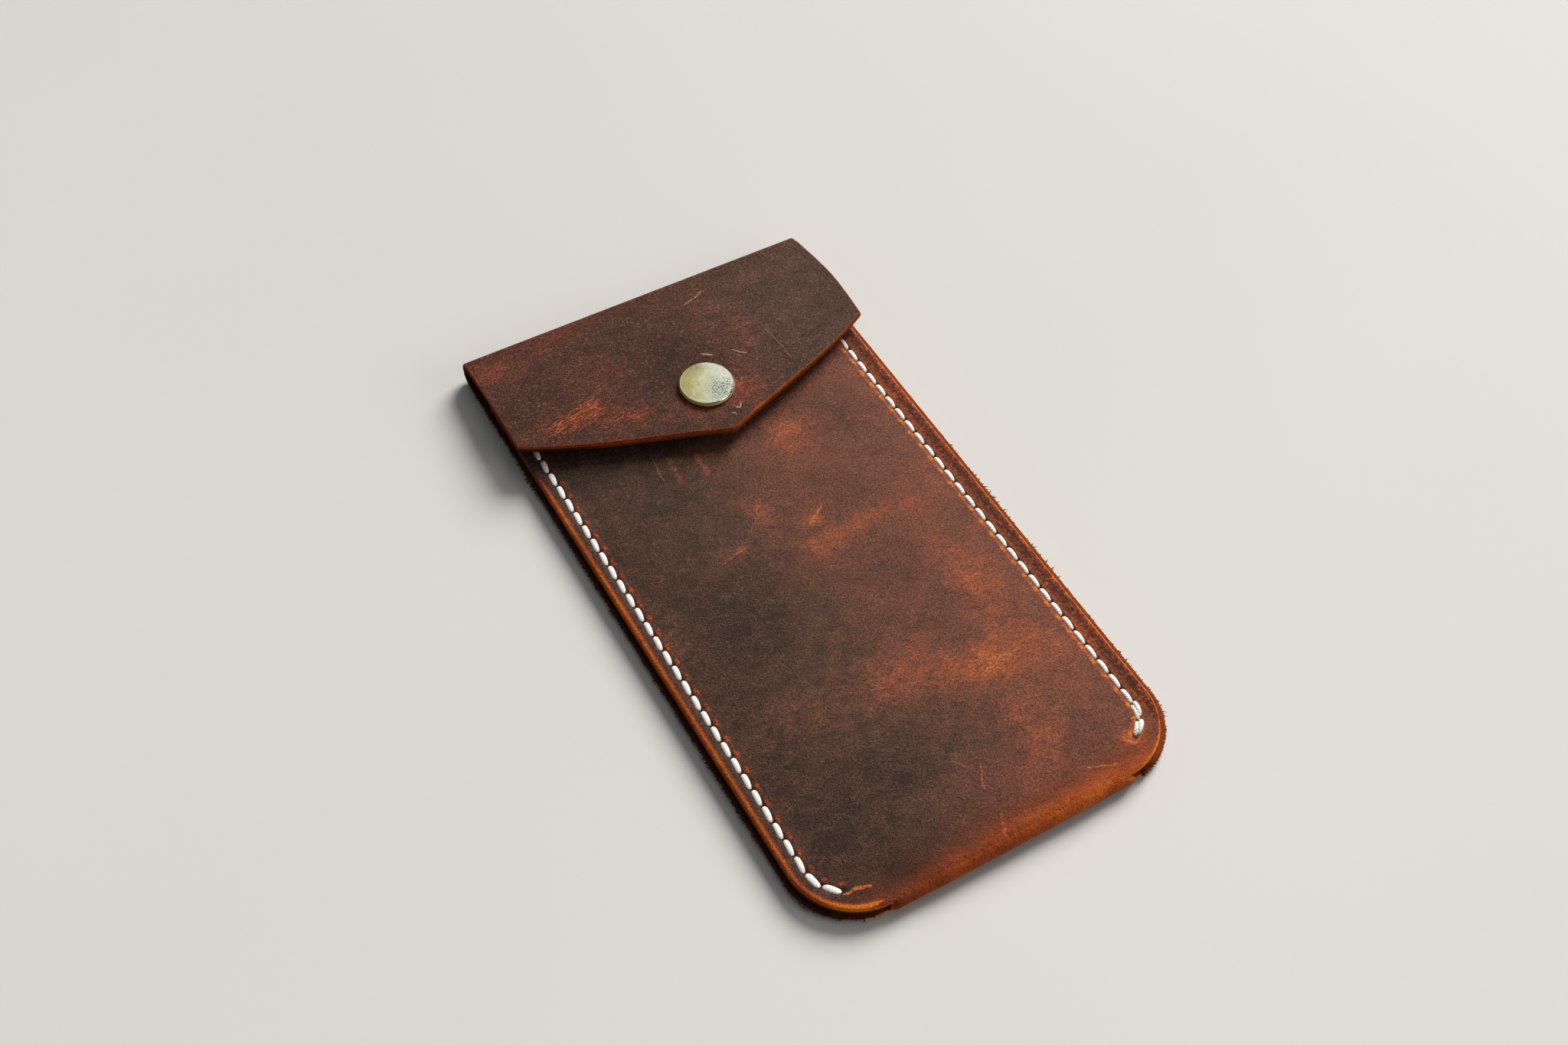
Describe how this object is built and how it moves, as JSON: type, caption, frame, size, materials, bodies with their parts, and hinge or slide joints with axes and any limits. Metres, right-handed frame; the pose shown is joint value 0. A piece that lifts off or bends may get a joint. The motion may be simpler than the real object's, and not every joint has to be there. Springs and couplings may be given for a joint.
{
  "type": "leather phone sleeve",
  "caption": "Hand-stitched leather phone sleeve: a folded pocket with rounded lower corners, a V-edged flap hinged at the top fold, and a ring snap.",
  "frame": {"origin": "under the middle of the sleeve, on the surface that it lies on", "axes": "+X across the sleeve, +Y from the bottom fold to the top fold, +Z out of the front, towards the snap cap"},
  "size_m": [0.0858, 0.1586, 0.0097],
  "materials": {
    "leather": "waxed pull-up leather, dark brown, orange-brown where it bends and at its burnished edges",
    "thread": "off-white waxed thread, slightly flattened",
    "snap_brass": "pale brushed brass with fine scuffs",
    "spring_steel": "bright wire"
  },
  "bodies": {
    "pocket": {"back_panel": "leather", "bottom_fold": "leather", "front_panel": "leather", "top_fold_lower_bend": "leather", "left_seam_thread": "thread", "right_seam_thread": "thread", "snap_stud": "snap_brass", "snap_eyelet": "snap_brass"},
    "top_fold": {"top_fold_band": "leather", "top_fold_upper_bend": "leather"},
    "flap": {"flap": "leather", "snap_cap": "snap_brass", "snap_socket": "snap_brass", "snap_ring_spring": "spring_steel"}
  },
  "joints": [
    {"name": "lower_fold", "type": "hinge", "parent": "pocket", "child": "top_fold", "pos_m": [0, 0.07802, 0.00128], "axis": [-1, 0, 0], "range_deg": [0, 86], "deforming": ["top_fold_lower_bend"]},
    {"name": "upper_fold", "type": "hinge", "parent": "top_fold", "child": "flap", "pos_m": [0, 0.07802, 0.00502], "axis": [-1, 0, 0], "range_deg": [0, 86], "deforming": ["top_fold_upper_bend"]}
  ],
  "couplings": [
    {"joint": "upper_fold", "follows": "lower_fold", "ratio": 1}
  ]
}
